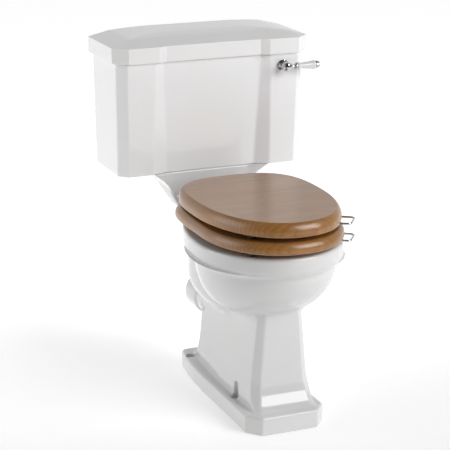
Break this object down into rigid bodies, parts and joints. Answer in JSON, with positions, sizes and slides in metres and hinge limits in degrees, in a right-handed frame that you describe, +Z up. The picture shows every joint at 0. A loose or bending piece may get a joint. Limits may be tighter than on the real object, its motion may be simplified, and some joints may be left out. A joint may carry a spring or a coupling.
{
  "type": "close coupled toilet",
  "caption": "Traditional close coupled toilet: glazed pan on a flared foot, lever flushed cistern with a stepped front, oak seat and cover with wire lifting loops.",
  "frame": {"origin": "centre of the four floor screw holes, at floor level", "axes": "+Z up, -Y towards the front of the bowl, +X to the right when facing the toilet, wall behind at +Y"},
  "size_m": [0.548, 0.747, 0.866],
  "materials": {
    "pan_china": "gloss white glaze",
    "tank_china": "gloss white glaze",
    "lid_china": "gloss white glaze",
    "grip_china": "gloss white glaze",
    "ring_oak": "satin lacquered golden oak",
    "cover_oak": "satin lacquered golden oak",
    "chrome_plate": "polished chrome plate",
    "zinc_steel": "bright zinc plate",
    "brass_metal": "plain turned brass",
    "black_rubber": "matt black rubber",
    "white_plastic": "plain white moulding",
    "float_plastic": "orange blow moulding"
  },
  "bodies": {
    "pan_and_cistern": {"pan": "pan_china", "cistern_tank": "tank_china", "hinge_pillars": "chrome_plate", "pillar_pads": "black_rubber", "hinge_bar": "chrome_plate", "bar_end_nuts": "chrome_plate", "hinge_studs": "zinc_steel", "stud_washers": "white_plastic", "stud_wing_nuts": "white_plastic", "lever_rose": "chrome_plate", "lever_backnut": "brass_metal", "siphon_body": "white_plastic", "siphon_seal": "black_rubber", "siphon_backnut": "white_plastic", "doughnut_seal": "black_rubber", "coupling_plate": "zinc_steel", "coupling_bolts": "zinc_steel", "coupling_washers": "black_rubber", "coupling_wing_nuts": "brass_metal", "fill_valve": "brass_metal", "fill_valve_seal": "black_rubber", "fill_valve_backnut": "brass_metal", "float_pivot_pin": "zinc_steel"},
    "lid": {"cistern_lid": "lid_china"},
    "seat": {"seat_ring": "ring_oak", "ring_handle": "chrome_plate", "ring_handle_screws": "zinc_steel", "ring_hinge_leaves": "chrome_plate", "ring_leaf_screws": "zinc_steel", "ring_buffers": "black_rubber"},
    "cover": {"seat_cover": "cover_oak", "cover_handle": "chrome_plate", "cover_handle_screws": "zinc_steel", "cover_hinge_leaves": "chrome_plate", "cover_leaf_screws": "zinc_steel", "cover_buffers": "black_rubber"},
    "lever": {"lever_spindle": "chrome_plate", "lever_neck": "chrome_plate", "lever_grip": "grip_china", "lever_end_cap": "chrome_plate", "lever_arm": "brass_metal", "arm_clamp_screw": "zinc_steel"},
    "hook": {"link_hook": "zinc_steel"},
    "piston": {"siphon_piston": "zinc_steel"},
    "float": {"float_arm": "brass_metal", "float_ball": "float_plastic"}
  },
  "joints": [
    {"name": "seat_hinge", "type": "hinge", "parent": "pan_and_cistern", "child": "seat", "pos_m": [0, 0.098, 0.485], "axis": [1, 0, 0], "range_deg": [-92, 0]},
    {"name": "cover_hinge", "type": "hinge", "parent": "seat", "child": "cover", "pos_m": [0, 0.098, 0.485], "axis": [-1, 0, 0], "range_deg": [0, 92]},
    {"name": "flush_lever", "type": "hinge", "parent": "pan_and_cistern", "child": "lever", "pos_m": [0.186, 0.2, 0.778], "axis": [0, 1, 0], "range_deg": [0, 32], "stiffness_Nm_per_rad": 0.6, "springref_deg": -5.73},
    {"name": "hook_lift", "type": "slide", "parent": "pan_and_cistern", "child": "hook", "axis": [0, 0, 1], "range_m": [0, 0.0735]},
    {"name": "piston_lift", "type": "slide", "parent": "pan_and_cistern", "child": "piston", "axis": [0, 0, 1], "range_m": [0, 0.0735]},
    {"name": "float_swing", "type": "hinge", "parent": "pan_and_cistern", "child": "float", "pos_m": [0.194, 0.326, 0.724], "axis": [0, 1, 0], "range_deg": [-30, 0], "stiffness_Nm_per_rad": 0.5, "springref_deg": 11.46},
    {"name": "lid_lift", "type": "slide", "parent": "pan_and_cistern", "child": "lid", "axis": [0, 0, 1], "range_m": [0, 0.12]}
  ],
  "couplings": [
    {"joint": "hook_lift", "follows": "flush_lever", "m_per_rad": 0.1295},
    {"joint": "piston_lift", "follows": "flush_lever", "m_per_rad": 0.1295}
  ]
}
